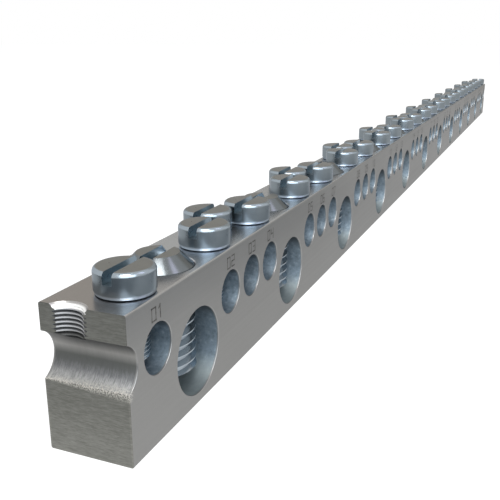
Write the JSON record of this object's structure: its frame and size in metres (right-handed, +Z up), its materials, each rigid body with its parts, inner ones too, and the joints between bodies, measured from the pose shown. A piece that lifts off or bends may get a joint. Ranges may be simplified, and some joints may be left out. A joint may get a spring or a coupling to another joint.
{
  "type": "earth terminal bar",
  "caption": "Straight aluminium earth bar, cross-drilled with small and large wire holes, each with a slotted clamp screw from the top.",
  "frame": {"origin": "middle of the bar's underside, which is the bottom centre of the whole part's box", "axes": "+X along the bar, +Y from the front face to the back face, +Z up, out of the screw heads"},
  "size_m": [0.663, 0.0176, 0.0337],
  "materials": {
    "bar": "satin mill finish, saw cut at the ends",
    "screw": "bright zinc plate"
  },
  "bodies": {
    "root": {"bar": "bar", "small_screw_01": "screw", "small_screw_02": "screw", "small_screw_03": "screw", "small_screw_04": "screw", "small_screw_05": "screw", "small_screw_06": "screw", "small_screw_07": "screw", "small_screw_08": "screw", "small_screw_09": "screw", "small_screw_10": "screw", "small_screw_11": "screw", "small_screw_12": "screw", "small_screw_13": "screw", "small_screw_14": "screw", "small_screw_15": "screw", "small_screw_16": "screw", "small_screw_17": "screw", "small_screw_18": "screw", "small_screw_19": "screw", "small_screw_20": "screw", "small_screw_21": "screw", "small_screw_22": "screw", "small_screw_23": "screw", "small_screw_24": "screw", "small_screw_25": "screw", "small_screw_26": "screw", "small_screw_27": "screw", "small_screw_28": "screw", "small_screw_29": "screw", "small_screw_30": "screw", "small_screw_31": "screw", "small_screw_32": "screw", "small_screw_33": "screw", "small_screw_34": "screw", "small_screw_35": "screw", "large_screw_01": "screw", "large_screw_02": "screw", "large_screw_03": "screw", "large_screw_04": "screw", "large_screw_05": "screw", "large_screw_06": "screw", "large_screw_07": "screw", "large_screw_08": "screw", "large_screw_09": "screw", "large_screw_10": "screw", "large_screw_11": "screw", "large_screw_12": "screw"}
  },
  "joints": []
}
